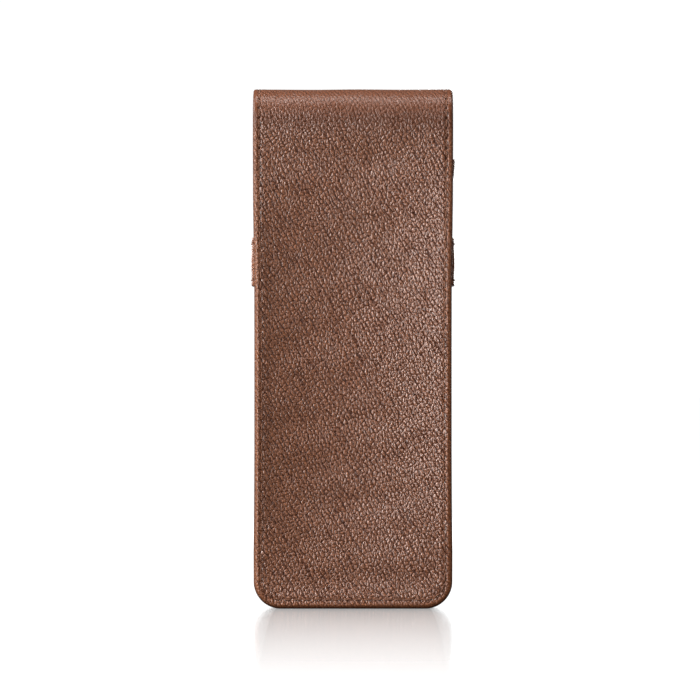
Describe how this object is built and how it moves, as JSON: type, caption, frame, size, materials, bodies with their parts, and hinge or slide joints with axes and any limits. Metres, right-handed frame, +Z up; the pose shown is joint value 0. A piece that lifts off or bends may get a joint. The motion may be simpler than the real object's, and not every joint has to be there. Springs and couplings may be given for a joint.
{
  "type": "leather pen case",
  "caption": "Upright soft-sided leather pen case with pen bays, a fold-over flap whose tongue tucks under a strap, and stitched turned edges.",
  "frame": {"origin": "centre of the case's bounding box, on the floor it stands on", "axes": "+Z up along the case, -Y the plain face, +Y the flap and strap side, +X to the right seen from the plain face"},
  "size_m": [0.0646, 0.0226, 0.165],
  "materials": {
    "leather": "brown pebbled full-grain leather, satin",
    "gusset_leather": "brown pebbled leather, soft and slightly darker",
    "strap_leather": "brown pebbled leather strap, satin",
    "lining": "dark brown napped lining",
    "divider": "dark brown napped lining, doubled",
    "board": "grey fibre board, hidden",
    "thread": "brown waxed thread"
  },
  "bodies": {
    "case": {"face_leather": "leather", "face_board": "board", "face_lining": "lining", "gusset_leather": "gusset_leather", "gusset_lining": "lining", "pocket_leather": "leather", "pocket_board": "board", "pocket_lining": "lining", "divider_left": "divider", "divider_right": "divider", "strap_leather": "strap_leather", "strap_lining": "lining", "face_seam_thread": "thread", "pocket_seam_thread": "thread", "mouth_thread": "thread", "strap_thread_upper": "thread", "strap_thread_lower": "thread"},
    "fold_rear": {"fold_rear_leather": "leather", "fold_rear_lining": "lining", "fold_rear_thread_left": "thread", "fold_rear_thread_right": "thread"},
    "fold_front": {"fold_front_leather": "leather", "fold_front_lining": "lining", "fold_front_thread_left": "thread", "fold_front_thread_right": "thread"},
    "flap": {"flap_leather": "leather", "flap_lining": "lining", "flap_edge_thread": "thread"}
  },
  "joints": [
    {"name": "flap_open", "type": "hinge", "parent": "case", "child": "fold_rear", "pos_m": [0, -0.00993, 0.1599], "axis": [1, 0, 0], "range_deg": [0, 60], "deforming": ["strap_leather", "strap_lining", "strap_thread_upper", "strap_thread_lower"]},
    {"name": "fold_crown", "type": "hinge", "parent": "fold_rear", "child": "fold_front", "pos_m": [0, -0.0011, 0.165], "axis": [1, 0, 0], "range_deg": [0, 60]},
    {"name": "fold_flap", "type": "hinge", "parent": "fold_front", "child": "flap", "pos_m": [0, 0.00773, 0.1599], "axis": [1, 0, 0], "range_deg": [0, 60]}
  ],
  "couplings": [
    {"joint": "fold_crown", "follows": "flap_open", "ratio": 1},
    {"joint": "fold_flap", "follows": "flap_open", "ratio": 1}
  ]
}
